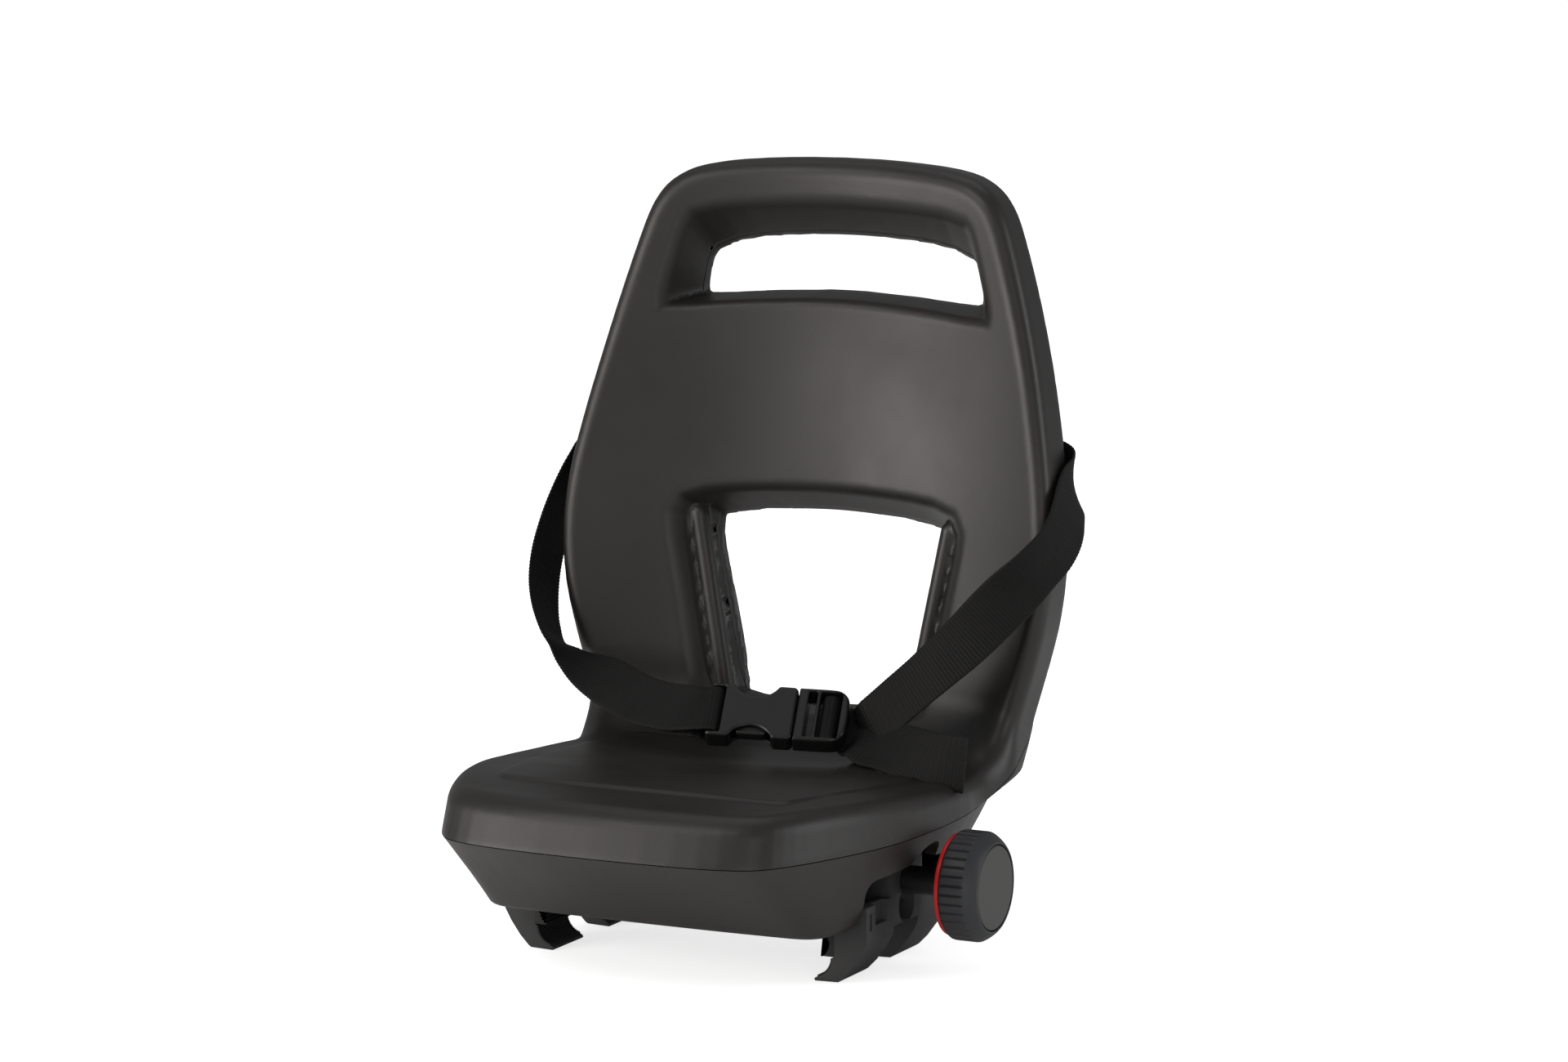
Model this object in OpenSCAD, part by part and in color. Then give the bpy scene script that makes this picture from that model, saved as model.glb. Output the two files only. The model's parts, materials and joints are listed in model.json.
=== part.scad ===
// Rear child bike seat: two-part moulded bucket with a lap belt, held on a
// luggage carrier by two clamp jaws that one knob draws together.
// Origin: underside of the base, under the clamp spindle, on the middle plane.
// X across the bike, Y towards the back of the bike, Z up.

/* [Shells] */
// Wall thickness of both moulded shells
wall = 3.5; // [2.5:0.1:4.5]
// Radius of the hollow in the face of the backrest, seen from above
face_r = 333; // [300:1:380]
// Height of the split line between the shells along the seat
split_z = 47; // [45:0.5:50]
// Half width of the base where it meets the carrier
base_half_w = 100; // [96:1:104]
// How far the front of the seat reaches past the spindle
nose_y = 154; // [150:1:160]

/* [Clamp] */
// Height of the spindle above the carrier
spindle_z = 17.3; // [16.5:0.1:18]
// Diameter of the spindle
spindle_d = 10; // [8:0.5:10]
// Half distance between the inner faces of the two hooks' backs
hook_x = 88.5; // [84:0.5:90]
// Length of one hook along the carrier tube
hook_len = 33; // [28:1:36]
// Distance from a front hook to the rear hook of the same jaw
hook_pitch = 63; // [60:1:66]
// Diameter of the carrier tube that the grip pads are shaped for
tube_d = 16; // [12:1:16]

/* [Knob] */
// Outer diameter of the knob
knob_d = 58; // [52:1:60]
// Number of grip flutes round the knob
flutes = 36; // [24:1:40]
// Diameter of the sleeve between the jaw and the knob
sleeve_d = 14.7; // [14:0.1:15.5]
// Diameter of the indicator ring behind the knob
ring_d = 53.2; // [48:0.2:54]

/* [Belt] */
// Thickness of the webbing
web_t = 1.8; // [1.4:0.1:2.2]

/* [Hidden] */

shell_col = [0.13, 0.12, 0.12];
base_col = [0.20, 0.20, 0.20];
jaw_col = [0.16, 0.16, 0.16];
steel = [0.70, 0.70, 0.72];
web_col = [0.07, 0.07, 0.07];

// Half width of the backrest at each height
wz = [[40, 120], [60, 124], [80, 128], [100, 134], [120, 140], [140, 145], [160, 147.5],
      [180, 148], [200, 146.5], [220, 143.5], [240, 139.5], [260, 135], [280, 130],
      [300, 124.5], [320, 118.5], [340, 112], [352, 107.5], [360, 103], [366, 98], [371, 91],
      [375, 82], [378, 66], [380, 40], [381, 0]];
// Middle line of the backrest's face, back from the spindle, at each height
yc = [[50, 104], [80, 107], [100, 110], [130, 113.5], [160, 116], [200, 119.5], [240, 124.5],
      [280, 129], [320, 131], [400, 132]];
// Middle line of the backrest's rear at each height
yr = [[50, 132], [80, 134.5], [120, 137], [160, 139.5], [200, 143.5], [240, 149],
      [280, 153.5], [320, 156], [400, 157]];
rear_r = 600;

// Seat outline seen from above, right half, from the nose to the back
plan = [[0, -154], [40, -153], [70, -150], [88, -145], [99, -137], [106, -126], [111, -113],
        [117, -92], [122, -72], [126, -50], [128, -25], [128.5, 0], [128, 30],
        [127, 60], [126, 90], [125, 140]];

function mirrored(pts) = concat(pts, [for (i = [len(pts) - 1:-1:0]) [-pts[i][0], pts[i][1]]]);
function arc(cx, cy, r, a0, a1, n) = [for (i = [0:n]) let (a = a0 + (a1 - a0) * i / n)
    [cx + r * cos(a), cy + r * sin(a)]];

// An outline in the side view (back, up) made as wide as w each way
module side(w) rotate([90, 0, 90]) translate([0, 0, -w]) linear_extrude(2 * w) children();
// An outline in the front view (right, up) from y0 to y1
module front(y0, y1) translate([0, y1, 0]) rotate([90, 0, 0]) linear_extrude(y1 - y0) children();

// Region in front of a surface that is round seen from above
module turned(t, table, r, off, z0, z1) {
    zs = concat([z0], [for (p = table) if (p[0] > z0 && p[0] < z1) p[0]], [z1]);
    translate([0, off, 0]) rotate_extrude($fn = 256)
        polygon(concat([[0, z1], [0, z0]], [for (z = zs) [lookup(z, table) - off + t, z]]));
}

// Solid shape of the whole bucket, with every face moved in by t
module bucket(t) {
    // backrest
    difference() {
        intersection() {
            front(40, 190) polygon(mirrored([for (p = wz)
                [max(p[1] - t * 1.02, 0), p[0] - (p[0] > 350 ? t : 0)]]));
            turned(-t, yr, 0, 157 - rear_r, 30 + t, 390);
            side(170) polygon([[60, 60], [84 - t, 30 + t], [129 - t, 82], [134 - t, 92], [200, 110], [200, 400], [0, 400], [0, 60]]);
        }
        turned(t, yc, 0, 132 - face_r, 50, 395);
    }
    // seat and base
    intersection() {
        side(150) polygon([
            [-90 + t * 0.6, 0 + t], [-nose_y + t, split_z - 1], [-nose_y + t, split_z],
            [-nose_y + 0.8 + t, 54], [-151 + t, 59.5], [-147.5 + t * 0.8, 64 - t * 0.6],
            [-142 + t * 0.5, 68 - t * 0.8], [-134, 70.5 - t], [-124, 71.6 - t], [-98, 72 - t],
            [-60, 70.8 - t], [-20, 68 - t], [20, 65.5 - t], [50, 64.5 - t], [72, 65.5 - t],
            [84, 69 - t], [94, 77 - t], [102, 88 - t], [107, 100 - t], [110, 108 - t],
            [133 - t, 108 - t], [133.5 - t, 92], [129 - t, 82], [84 - t, 30], [62 - t * 0.8, 5],
            [57 - t * 0.6, 1 + t], [50, t]]);
        linear_extrude(200) polygon(mirrored([for (p = plan)
            [max(p[0] - t, 0), p[1] + (p[1] < -90 ? t : 0)]]));
        turned(-t, yr, 0, 157 - rear_r, -10, 390);
        front(-200, 200) polygon(mirrored([[0, t], [base_half_w - t - 4, t], [base_half_w - t, t + 1.5],
            [129 - t, split_z], [128.5 - t, 54], [126 - t, 60], [121 - t, 65.5 - t * 0.5],
            [114 - t * 0.5, 69.5 - t], [106, 72 - t], [106, 76], [124 - t, 80], [129 - t, 110], [0, 110]]));
    }
}

// Everything that belongs to the upper shell
module upper_side(gap) {
    intersection() {
        side(170) polygon([[-200, split_z + gap], [60, split_z + gap], [170, 107 + gap],
                           [170, 400], [-200, 400]]);
        turned(-7 - gap, yr, 0, 157 - rear_r, 20, 395);
    }
}

// Handle opening, wide at the front and narrower at the rear
handle_f = mirrored([[0, 358], [45, 356.5], [78, 353.5], [84, 350], [87, 345], [100, 301], [98, 297.5], [60, 301.5], [0, 304.5]]);
handle_b = mirrored([[0, 338], [45, 336], [72, 331], [79, 326], [81.5, 320], [83.5, 306], [82, 303], [50, 306], [0, 308.5]]);
// Lower window, wide at the front and narrower at the rear
window_f = mirrored([[0, 202], [50, 200], [76, 197], [85, 192], [89, 184], [80, 138], [71, 92], [66, 84], [40, 80], [0, 79]]);
window_b = mirrored([[0, 187], [40, 185.5], [66, 181.5], [69.5, 178], [54, 114], [50, 90], [46, 84], [0, 83]]);

module funnel(f, b, y0, y1, grow) {
    hull() {
        front(y0, y0 + 0.1) offset(delta = grow) polygon(f);
        front(y1, y1 + 0.1) offset(delta = grow) polygon(b);
    }
}

// Places of the screws that hold the two shells together: on the backrest
back_screws = [[-60, 362], [60, 362], [-118, 262], [118, 262], [-104, 118], [104, 118]];
// and in the base
base_screws = [[-72, -70], [72, -70], [-21, 44], [21, 44]];
// Where the belt is bolted to the rear of the backrest
anchor = [126, 222];

// Place square to the rear face at the belt's anchor, d out of the face
module at_anchor(d) translate([anchor[0], rear_y(anchor[0], anchor[1]), anchor[1]])
    rotate([0, 0, -12.4]) rotate([-98, 0, 0]) translate([0, 0, d]) children();

function rear_y(x, z) = 157 - rear_r + sqrt(pow(lookup(z, yr) - 157 + rear_r, 2) - x * x);

module seat_shell() color(shell_col) difference() {
    union() {
        difference() {
            intersection() { bucket(0); upper_side(0.15); }
            bucket(wall);
        }
        // raised seat panel
        intersection() {
            bucket(-1.2);
            translate([0, 0, 60]) linear_extrude(14) polygon(mirrored([[0, -98], [80, -97], [84, -93],
                [100, -20], [103, 30], [98, 64], [90, 70], [0, 72]]));
            translate([-120, -100, 60]) cube([240, 175, 20]);
        }
        // walls of the two openings, and the screw bosses
        intersection() {
            bucket(0);
            upper_side(0.15);
            union() {
                funnel(handle_f, handle_b, 95, 152, 3.2);
                funnel(window_f, window_b, 85, 142, 3.2);
                for (s = back_screws) translate([s[0], 90, s[1]]) rotate([-90, 0, 0]) cylinder(r = 5, h = 80, $fn = 32);
            }
        }
        for (s = base_screws) translate([s[0], s[1], 9.2]) cylinder(r = 5, h = 58, $fn = 32);
    }
    funnel(handle_f, handle_b, 95, 152, 0);
    funnel(window_f, window_b, 85, 142, 0);
    for (y = [150, 140]) front(y, y + 30) polygon(y == 150 ? handle_b : window_b);
    for (s = back_screws) translate([s[0], rear_y(s[0], s[1]) - 16, s[1]]) rotate([-90, 0, 0]) cylinder(r = 2.05, h = 60, $fn = 32);
    for (s = base_screws) translate([s[0], s[1], -1]) cylinder(r = 2.05, h = 22, $fn = 32);
}

module back_shell() color(base_col) difference() {
    union() {
        difference() {
            bucket(0);
            upper_side(0);
            bucket(wall);
        }
        // rails that guide the jaws and the pads under the bearing block
        intersection() {
            bucket(0.5);
            union() {
                for (y = [-57.5, 55]) translate([-108, y, 0]) cube([216, 2.5, 12]);
                translate([-16, -17, 0]) cube([32, 34, 6]);
            }
        }
        // screw bosses in the base
        for (s = base_screws) translate([s[0], s[1], 0.6]) cylinder(r = 6, h = 8.4, $fn = 32);
    }
    // openings for the handle and the window
    for (y = [120]) {
        front(y, y + 60) polygon(handle_b);
        front(y - 20, y + 60) polygon(window_b);
    }
    // underside openings that the hooks travel in
    for (m = [0, 1]) mirror([m, 0, 0]) {
        translate([60, -51, -5]) cube([60, 101, 40.5 - 8]);
        translate([60, 0, 24.5]) rotate([0, 90, 0]) cylinder(r = 14, h = 80, $fn = 48);
        translate([60, -51, -5]) cube([80, 101, 29]);
    }
    for (s = base_screws) translate([s[0], s[1], -1]) {
        cylinder(r = 2.3, h = 30, $fn = 32);
        cylinder(r = 4.6, h = 5, $fn = 32);
    }
    for (s = back_screws) translate([s[0], rear_y(s[0], s[1]), s[1]]) rotate([-90, 0, 0])
        translate([0, 0, -20]) cylinder(r = 2.3, h = 40, $fn = 32);
    for (m = [0, 1]) mirror([m, 0, 0]) at_anchor(-12) cylinder(r = 3.1, h = 30, $fn = 32);
    for (s = [-1, 1]) translate([0, s * 12.5, 1.8]) cylinder(r = 1.9, h = 12, $fn = 32);
}

module pan_screw(r, head_r, head_h, len) {
    cylinder(r = head_r, h = head_h, $fn = 32);
    translate([0, 0, -len]) cylinder(r = r, h = len + 0.01, $fn = 32);
}

module shell_screws() color(steel) {
    for (s = back_screws) translate([s[0], rear_y(s[0], s[1]) + 0.9, s[1]]) rotate([-90, 0, 0]) pan_screw(2, 4.2, 2.4, 15);
    for (s = base_screws) translate([s[0], s[1], 3.9]) rotate([180, 0, 0]) pan_screw(2, 4.2, 2.6, 14);
}

// Hook seen along the carrier tube, right side
hook_pts = concat(
    [[hook_x, 3], [hook_x, -16.7]],
    arc(76.5, -17, 11, -2, -78, 8),
    [[77.6, -28.4], [77.2, -29.4], [77.8, -30], [91, -29.6], [92.5, -28.6],
     [97.5, -23.5], [103, -16], [106.6, -9.6], [107.2, -3], [107.2, 3]]);

module jaw_right_shape() {
    difference() {
        union() {
            for (y = [-48.7, -48.7 + hook_pitch]) front(y, y + hook_len) polygon(hook_pts);
            // outer wall
            translate([100.5, -48.7, -8]) cube([6.7, 96, 19]);
            // body round the sleeve
            translate([58, -19, 4]) cube([49.2, 38, 24.5]);
            // sliding plate
            translate([58, -48.7, 4]) cube([49.2, 96, 4.5]);
            for (y = [-54.4, 46.9]) translate([62, y, 4.9]) cube([31, 7.4, 3.6]);
        }
        // passage of the sleeve and the spindle
        translate([76.5, 0, spindle_z]) rotate([0, 90, 0]) cylinder(d = sleeve_d + 1.6, h = 60, $fn = 48);
        translate([50, 0, spindle_z]) rotate([0, 90, 0]) cylinder(r = spindle_d / 2 + 1, h = 60, $fn = 48);
        // pocket of the captive nut, open at the top
        translate([62, -8.6, spindle_z - 9.2]) cube([8.2, 17.2, 30]);
        // round hole, pocket and slot in the outer wall
        translate([90, 0, 4]) rotate([0, 90, 0]) cylinder(r = 9.6, h = 30, $fn = 48);
        translate([104, -38, 0]) cube([10, 14, 14]);
        translate([98, -44.5, -2]) cube([20, 2.6, 9]);
        // gap between the outer wall's foot and the rear hook
        translate([94, -15.6, -9]) cube([20, 29.8, 4]);
        // lightening pockets in the sliding plate
        for (y = [-44, 24]) translate([66, y, 0]) cube([16, 18, 20]);
    }
}

module jaw_right() color(jaw_col) jaw_right_shape();
module jaw_left() color(jaw_col) mirror([1, 0, 0]) jaw_right_shape();

// Grip pads: hollow faces that hold the carrier tube
module pads_right() {
    for (y = [-48.7, -48.7 + hook_pitch]) difference() {
        translate([79.5, y, -16.6]) cube([hook_x - 79.5, hook_len, 14.6]);
        translate([77, y - 1, -9.6]) rotate([-90, 0, 0]) cylinder(d = tube_d, h = hook_len + 2, $fn = 64);
        translate([70, y - 1, -20]) cube([10.9, hook_len + 2, 20]);
    }
}
module grip_pads_right() color([0.06, 0.06, 0.06]) pads_right();
module grip_pads_left() color([0.06, 0.06, 0.06]) mirror([1, 0, 0]) pads_right();

module nut(r) difference() {
    cylinder(r = 9.0, h = 7.8, $fn = 6);
    translate([0, 0, -1]) cylinder(r = r, h = 12, $fn = 48);
}
module jaw_nut_right() color([0.72, 0.6, 0.35]) translate([62.2, 0, spindle_z]) rotate([0, 90, 0]) nut(spindle_d / 2 + 0.05);
module jaw_nut_left() color([0.72, 0.6, 0.35]) translate([-70, 0, spindle_z]) rotate([0, 90, 0]) nut(spindle_d / 2 + 0.05);

module along_x(x0, x1, r, n) translate([x0, 0, spindle_z]) rotate([0, 90, 0]) cylinder(r = r, h = x1 - x0, $fn = n);

module spindle() color(steel) difference() {
    along_x(-102, 151, spindle_d / 2, 64);
    // grooves of the retaining clips
    for (m = [0, 1]) mirror([m, 0, 0]) difference() {
        along_x(11.4, 12.8, spindle_d / 2 + 1, 64);
        along_x(11, 13.2, spindle_d / 2 - 1, 64);
    }
}

module bearing_block() color([0.10, 0.10, 0.10]) difference() {
    translate([-9.5, -17, 6]) cube([19, 34, 20]);
    along_x(-12, 12, spindle_d / 2 + 0.06, 64);
    for (s = [-1, 1]) translate([0, s * 12.5, 5]) cylinder(r = 1.9, h = 40, $fn = 32);
    for (s = [-1, 1]) translate([0, s * 12.5, 23.4]) cylinder(r = 3.6, h = 10, $fn = 32);
}

module block_screws() color(steel) for (s = [-1, 1]) translate([0, s * 12.5, 23.4]) pan_screw(1.85, 3.5, 2.4, 21);

module thrust_washers() color(steel) for (m = [0, 1]) mirror([m, 0, 0]) difference() {
    along_x(9.7, 11.2, 9, 48);
    along_x(9, 12, spindle_d / 2 + 0.1, 48);
}

module retaining_clips() color(steel) for (m = [0, 1]) mirror([m, 0, 0]) difference() {
    along_x(11.5, 12.7, 7.5, 48);
    along_x(11, 13, spindle_d / 2 - 0.9, 48);
    translate([10, -3, spindle_z - 12]) cube([5, 6, 12]);
}

module sleeve() color([0.05, 0.05, 0.05]) difference() {
    along_x(78.5, 133.6, sleeve_d / 2, 64);
    along_x(77, 140, spindle_d / 2 + 0.02, 64);
}

module indicator_ring() color([0.85, 0.06, 0.04]) difference() {
    along_x(133.7, 137.2, ring_d / 2, 96);
    along_x(133, 138, spindle_d / 2 + 0.02, 64);
}

module knob() color([0.27, 0.28, 0.30]) difference() {
    translate([137.3, 0, spindle_z]) rotate([0, 90, 0]) rotate_extrude($fn = 96)
        polygon([[0, 0], [27, 0], [28.3, 1.2], [knob_d / 2, 3], [knob_d / 2, 14], [28.4, 16.2],
                 [26, 19.6], [24, 20.9], [0, 20.9]]);
    // grip flutes
    for (i = [0:flutes - 1]) translate([0, 0, spindle_z]) rotate([i * 360 / flutes, 0, 0])
        translate([137, 0, knob_d / 2 + 0.5]) rotate([0, 90, 0]) cylinder(r = 1.1, h = 14, $fn = 13);
    // seat of the cap and pocket of the nut
    along_x(155.6, 160, 22.8, 96);
    along_x(143.5, 156, 10.2, 48);
    along_x(136, 150, spindle_d / 2 + 0.02, 64);
}

module knob_nut() color(steel) translate([143.7, 0, spindle_z]) rotate([0, 90, 0]) difference() {
    cylinder(r = 9.2, h = 6.2, $fn = 6);
    translate([0, 0, -1]) cylinder(r = spindle_d / 2 + 0.02, h = 9, $fn = 48);
}

module knob_cap() color([0.34, 0.35, 0.37]) translate([155.7, 0, spindle_z]) rotate([0, 90, 0])
    rotate_extrude($fn = 96) polygon([[0, 0], [22.6, 0], [22.6, 1.6], [21.8, 2.3], [0, 2.5]]);

// Flat webbing swept along hand-set stations: middle point and half-width vector
module webbing(st, t) {
    n = len(st);
    function cr(a, b) = [a[1] * b[2] - a[2] * b[1], a[2] * b[0] - a[0] * b[2], a[0] * b[1] - a[1] * b[0]];
    function un(a) = a / norm(a);
    tang = [for (i = [0:n - 1]) un(st[min(i + 1, n - 1)][0] - st[max(i - 1, 0)][0])];
    pts = [for (i = [0:n - 1]) let (w = st[i][1], m = un(cr(tang[i], w)) * t / 2, c = st[i][0])
        each [c - w - m, c + w - m, c + w + m, c - w + m]];
    faces = concat([[0, 1, 2, 3]], [[for (k = [3:-1:0]) 4 * (n - 1) + k]],
        [for (i = [0:n - 2]) for (k = [0:3]) each [
            [4 * i + k, 4 * i + 4 + k, 4 * i + 4 + (k + 1) % 4],
            [4 * i + k, 4 * i + 4 + (k + 1) % 4, 4 * i + (k + 1) % 4]]]);
    polyhedron(pts, faces, convexity = 6);
}

// Buckle: front middle of its joint line, how far its face leans back, and its turn and dip to the right
buckle_at = [22, 42, 88];
buckle_lean = 50;
buckle_turn = [0, 2, 18];
// Direction given in the buckle's level frame, turned into the part's frame
function bturn(v) = let (p = buckle_turn[1], w = buckle_turn[2],
    a = v[0] * cos(p) + v[2] * sin(p), c = v[2] * cos(p) - v[0] * sin(p))
    [a * cos(w) - v[1] * sin(w), a * sin(w) + v[1] * cos(w), c];
// Point of the belt in the buckle's own frame: x along the belt, z out of its face
function bk(x, z) = buckle_at + bturn([x, -z * cos(buckle_lean), z * sin(buckle_lean)]);
// Half width across the belt, rolled by a few degrees in its own plane
function bw(r) = bturn([15 * sin(r), 15 * cos(r) * sin(buckle_lean), 15 * cos(r) * cos(buckle_lean)]);

// Stations of the two belt halves: [middle], [half-width across the band]
left_st = [
    [[-112, 138.3, 229.5], [-7, 0.8, 13.2]], [[-126, 134.6, 222], [-7, 0.5, 13.2]], [[-140, 132.4, 214], [-7, -0.5, 13.2]],
    [[-148.8, 127, 206], [-5, -5, 13.2]], [[-152.2, 118.4, 199], [-2.5, -9.5, 11.3]], [[-155, 108, 187], [-1.5, -11.7, 9.3]],
    [[-157, 98, 171], [-1.6, -12.3, 8.5]], [[-157, 89, 154], [-2.2, -12.7, 7.9]], [[-154, 81, 138.5], [-2, -13.3, 6.9]],
    [[-148.4, 74, 126], [-0.6, -13.8, 5.9]], [[-139.6, 67.4, 115.4], [0.8, -14.1, 4.9]], [[-131, 65.5, 110.5], [1, -14.9, 1.2]],
    [[-120, 61.5, 105.5], [-1, -14.5, -3.4]], [[-106, 55.5, 100.3], [-3.6, -12, -8]], [[-88, 47, 95], [-3.4, -10.6, -10]],
    [[-70, 38, 91.6], [0, -10.6, -10.6]], [[-53, 31, 91], [2.6, -10.8, -10]], [bk(-51, 4.5), -bw(0)], [bk(-46, 5.2), -bw(0)],
    [bk(-43, 4.8), -bw(0)], [bk(-41.6, 3), -bw(0)], [bk(-41.4, 0.5), -bw(0)], [bk(-41.6, -2.4), -bw(0)],
    [bk(-43, -4.3), -bw(0)], [bk(-46.5, -4.8), -bw(0)], [bk(-52, -2.6), -bw(0)], [[-39, 30.2, 88.6], -bw(0)],
    [[-48, 34, 88.2], [2.8, -10.8, -10]]];
right_st = [
    [[112, 138.3, 226], [4, 0.4, 14.4]], [[126, 134.9, 222], [4, 0.2, 14.4]], [[138, 132.8, 217.5], [3.4, -0.4, 14.6]],
    [[144.8, 126.8, 213.5], [-0.5, -1.5, 14.9]], [[148.8, 118.4, 209], [-4, -4.5, 13.8]], [[151.5, 110, 204], [-4.8, -6.6, 12.6]],
    [[154, 101.5, 198], [-5, -8, 11.6]], [[154.8, 94.2, 191], [-5, -9, 10.8]], [[153, 86.6, 183], [-5.4, -9.4, 10.4]],
    [[146.2, 77.2, 172.4], [-6.4, -8.8, 10.4]], [[130, 71, 155], [-9.6, -3.4, 11]], [[110, 62, 132.5], [-12, 1.6, 8.8]],
    [[93.5, 56, 116], [-11, 5, 8.8]], [[78, 53, 101.5], [-10.5, 5.6, 9]], [[65, 53.5, 90], [-10.8, 6, 8.4]],
    [bk(33, -9.4) - [0, 1, 1.4], bw(-36)], [bk(25, -8.2), bw(-20)], [bk(18, -6.8), bw(-8)], [bk(14.4, -4.6), bw(-2)],
    [bk(13.6, -1.5), bw(0)], [bk(14, 1.5), bw(0)], [bk(15.4, 2.9), bw(0)], [bk(17.6, 3.2), bw(0)], [bk(19.8, 2.8), bw(0)],
    [bk(21.3, 1.2), bw(0)], [bk(21.8, -1.6), bw(0)], [bk(23, -4), bw(0)], [bk(26, -5.4), bw(2)],
    [[50.6, 54, 82.2], [-3, 12, 8.4]], [[58, 50, 83.2], [-2.4, 12.6, 7.8]], [[66, 45, 84.6], [-1.2, 11.2, 10]],
    [[76, 39, 84.6], [0.6, 9.6, 11.4]], [[91, 32, 82.6], [2.2, 6, 13.4]], [[110, 25.5, 80.8], [2.8, 2.6, 14.2]],
    [[130.5, 23, 78.4], [3.4, 0.6, 14.1]]];

module strap_left() color(web_col) difference() {
    webbing(left_st, web_t);
    mirror([1, 0, 0]) at_anchor(-8) cylinder(r = 3.3, h = 16, $fn = 32);
}
module strap_right() color(web_col) difference() {
    webbing(right_st, web_t);
    at_anchor(-8) cylinder(r = 3.3, h = 16, $fn = 32);
}

module anchor_bolts() color(steel) for (m = [0, 1]) mirror([m, 0, 0]) at_anchor(5.6) difference() {
    pan_screw(3, 6, 3.2, 14);
    translate([0, 0, 1.4]) cylinder(r = 2.3, h = 4, $fn = 6);
}
module anchor_washers() color(steel) for (m = [0, 1]) mirror([m, 0, 0]) at_anchor(4.1) difference() {
    cylinder(r = 9, h = 1.5, $fn = 48);
    translate([0, 0, -1]) cylinder(r = 3.1, h = 4, $fn = 32);
}

// Side-release buckle, drawn lying flat and then leaned back and turned
module buckle_frame() translate(buckle_at) rotate(buckle_turn) rotate([90 - buckle_lean, 0, 0]) children();

module buckle_female() color(web_col) buckle_frame() difference() {
    union() {
        translate([-39.6, -18, -5.5]) cube([39.1, 36, 11]);
        for (s = [-1, 1]) translate([-47.5, s * 16.9 - 1.1, -5.5]) cube([9, 2.2, 11]);
        // bar of the webbing
        translate([-47.2, -16.5, -3.2]) cube([3.6, 33, 6.8]);
    }
    // socket of the prongs
    translate([-26, -13.5, -3.6]) cube([40, 27, 7.2]);
    // finger windows at both sides
    for (s = [-1, 1]) translate([-24.5, s * 22, -10]) cylinder(r = 9, h = 20, $fn = 48);
}

module buckle_male() color(web_col) buckle_frame() difference() {
    union() {
        translate([0, -18, -5.5]) cube([27.6, 36, 11]);
        // guide tongue and the two spring prongs
        translate([-22, -2.6, -2.6]) cube([23, 5.2, 5.2]);
        for (s = [-1, 1]) {
            translate([-19, s * 9.6 - 1.4, -2.8]) cube([20, 2.8, 5.6]);
            translate([-21, s * 9.9 - 2.6, -2.8]) cube([8, 5.2, 5.6]);
        }
    }
    // slot beside the joint
    translate([5.4, -15.6, -10]) cube([4.8, 31.2, 20]);
    // space of the webbing round the middle bar, and the bars' lower faces
    translate([12.2, -15.6, -10]) cube([3.4, 31.2, 20]);
    translate([19.6, -15.6, -10]) cube([4.2, 31.2, 20]);
    translate([12, -15.6, 1.7]) cube([11.8, 31.2, 10]);
    translate([12, -15.6, -10]) cube([20, 31.2, 7]);
}

seat_shell();
back_shell();
shell_screws();
jaw_left();
jaw_right();
grip_pads_left();
grip_pads_right();
jaw_nut_left();
jaw_nut_right();
spindle();
bearing_block();
block_screws();
thrust_washers();
retaining_clips();
sleeve();
indicator_ring();
knob();
knob_nut();
knob_cap();
strap_left();
strap_right();
anchor_bolts();
anchor_washers();
buckle_female();
buckle_male();
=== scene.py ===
import json
import math
import time

import bmesh
import bpy
import numpy as np
from mathutils import Matrix, Vector

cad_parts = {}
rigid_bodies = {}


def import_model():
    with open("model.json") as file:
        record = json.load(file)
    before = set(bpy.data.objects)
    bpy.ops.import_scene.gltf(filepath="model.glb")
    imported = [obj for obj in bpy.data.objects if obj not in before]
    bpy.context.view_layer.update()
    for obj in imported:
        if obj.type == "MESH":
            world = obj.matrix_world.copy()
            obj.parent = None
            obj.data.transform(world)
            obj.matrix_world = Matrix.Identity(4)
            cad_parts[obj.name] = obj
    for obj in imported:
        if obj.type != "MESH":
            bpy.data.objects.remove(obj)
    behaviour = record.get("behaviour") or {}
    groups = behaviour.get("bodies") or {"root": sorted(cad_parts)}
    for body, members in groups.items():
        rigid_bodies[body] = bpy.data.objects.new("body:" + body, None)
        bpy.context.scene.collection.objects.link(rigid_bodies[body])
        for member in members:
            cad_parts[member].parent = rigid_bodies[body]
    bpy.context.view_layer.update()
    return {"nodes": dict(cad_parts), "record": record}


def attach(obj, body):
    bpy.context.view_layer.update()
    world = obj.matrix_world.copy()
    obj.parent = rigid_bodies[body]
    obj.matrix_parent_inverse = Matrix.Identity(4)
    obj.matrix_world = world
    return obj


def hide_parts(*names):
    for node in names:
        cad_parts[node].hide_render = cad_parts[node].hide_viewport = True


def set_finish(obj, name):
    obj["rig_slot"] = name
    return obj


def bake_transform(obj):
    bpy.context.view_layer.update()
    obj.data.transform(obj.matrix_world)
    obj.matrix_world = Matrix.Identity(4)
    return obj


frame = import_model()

T0 = time.time()
MM = 0.001


def note(text):
    print(f"[{time.time() - T0:6.1f} s] {text}", flush=True)


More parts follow.
